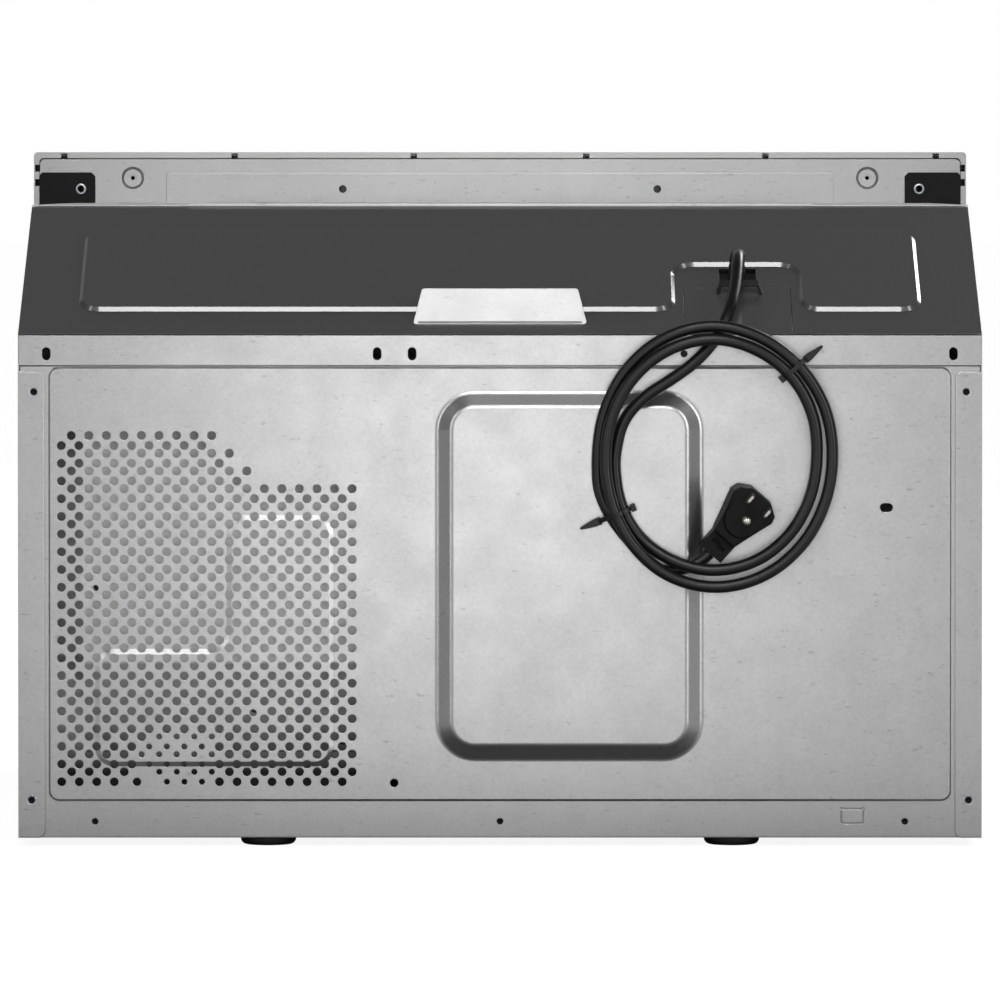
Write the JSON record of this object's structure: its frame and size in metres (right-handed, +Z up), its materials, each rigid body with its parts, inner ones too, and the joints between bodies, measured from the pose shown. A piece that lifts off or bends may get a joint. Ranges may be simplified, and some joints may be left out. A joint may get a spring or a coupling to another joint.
{
  "type": "microwave drawer",
  "caption": "Built-in microwave drawer with its sheet-metal chassis, pressed rear panel, sloped cover, motor-driven drawer and coiled power cord with plug.",
  "frame": {"origin": "on the floor under the middle of the appliance, measured without its cord", "axes": "+X to the right seen from the front, +Y to the rear, +Z up"},
  "size_m": [0.606, 0.6264, 0.4022],
  "materials": {
    "galvanised_sheet": "satin galvanised sheet",
    "stainless": "brushed",
    "cavity_steel": "smooth light grey enamel",
    "black_sheet": "satin black paint",
    "fasteners": "plain",
    "black_glass": "polished black",
    "clear_glass": "polished",
    "ceramic": "matt ceramic",
    "mica_board": "pressed board",
    "circuit_board": "lacquered board",
    "magnetron_metal": "plain",
    "core_steel": "varnished laminations",
    "winding": "enamelled wire",
    "capacitor_can": "drawn",
    "fan_plastic": "moulded",
    "motor_metal": "zinc plated",
    "gear_plastic": "moulded",
    "slide_steel": "zinc plated",
    "lamp": "clear",
    "switch_plastic": "moulded",
    "rubber": "moulded",
    "cord_jacket": "extruded jacket",
    "plug_plastic": "moulded",
    "prong_brass": "nickel plated",
    "tie_plastic": "moulded"
  },
  "bodies": {
    "cabinet": {"base_pan": "galvanised_sheet", "side_panel_left": "galvanised_sheet", "side_panel_right": "galvanised_sheet", "rear_panel": "galvanised_sheet", "rear_upper_rail": "galvanised_sheet", "front_frame": "galvanised_sheet", "frame_stiffener": "galvanised_sheet", "anti_tip_bracket": "galvanised_sheet", "intake_baffle": "galvanised_sheet", "capacitor_strap": "galvanised_sheet", "drive_bracket": "galvanised_sheet", "waveguide": "galvanised_sheet", "top_cover": "galvanised_sheet", "fascia_trim": "stainless", "cavity_shell": "cavity_steel", "sloped_cover": "black_sheet", "cord_plate": "black_sheet", "corner_brackets": "black_sheet", "fasteners": "fasteners", "control_glass": "black_glass", "stirrer_cover": "mica_board", "control_board": "circuit_board", "filter_board": "circuit_board", "magnetron": "magnetron_metal", "transformer_core": "core_steel", "transformer_coils": "winding", "hv_capacitor": "capacitor_can", "fan_housing": "fan_plastic", "fan_motor": "motor_metal", "stirrer_motor": "motor_metal", "drive_motor": "motor_metal", "slide_outer_left": "slide_steel", "slide_outer_right": "slide_steel", "oven_lamp": "lamp", "interlock_switches": "switch_plastic", "feet": "rubber", "strain_relief": "rubber", "cord_lead": "cord_jacket", "cord_loops": "cord_jacket", "plug_body": "plug_plastic", "plug_prongs": "prong_brass", "cable_ties": "tie_plastic"},
    "drawer": {"drawer_bin": "cavity_steel", "ceramic_tray": "ceramic", "choke_frame": "cavity_steel", "inner_glass": "clear_glass", "door_screen": "cavity_steel", "outer_glass": "black_glass", "door_skin": "stainless", "rack": "gear_plastic", "latch_hooks": "switch_plastic", "slide_inner_left": "slide_steel", "slide_inner_right": "slide_steel"},
    "slide_middle": {"slide_middle_left": "slide_steel", "slide_middle_right": "slide_steel", "slide_balls": "slide_steel"},
    "drive_gear": {"drive_gear": "gear_plastic"},
    "motor_gear": {"motor_gear": "gear_plastic"},
    "fan": {"fan_blade": "fan_plastic"},
    "stirrer": {"stirrer_blade": "magnetron_metal"}
  },
  "joints": [
    {"name": "drawer_slide", "type": "slide", "parent": "cabinet", "child": "drawer", "axis": [0, -1, 0], "range_m": [0, 0.38]},
    {"name": "slide_middle_slide", "type": "slide", "parent": "cabinet", "child": "slide_middle", "axis": [0, -1, 0], "range_m": [0, 0.19]},
    {"name": "drive_gear_spin", "type": "hinge", "parent": "cabinet", "child": "drive_gear", "pos_m": [0, -0.235, 0.05], "axis": [1, 0, 0], "range_deg": [-1815, 0]},
    {"name": "motor_gear_spin", "type": "hinge", "parent": "cabinet", "child": "motor_gear", "pos_m": [0.01, -0.205, 0.05], "axis": [1, 0, 0], "range_deg": [0, 5964]},
    {"name": "fan_spin", "type": "hinge", "parent": "cabinet", "child": "fan", "pos_m": [0.082, 0.229, 0.238], "axis": [1, 0, 0], "continuous": true},
    {"name": "stirrer_spin", "type": "hinge", "parent": "cabinet", "child": "stirrer", "pos_m": [0, -0.06, 0.28], "axis": [0, 0, 1], "continuous": true}
  ],
  "couplings": [
    {"joint": "slide_middle_slide", "follows": "drawer_slide", "ratio": 0.5},
    {"joint": "drive_gear_spin", "follows": "drawer_slide", "rad_per_m": -83.333},
    {"joint": "motor_gear_spin", "follows": "drawer_slide", "rad_per_m": 273.81}
  ]
}
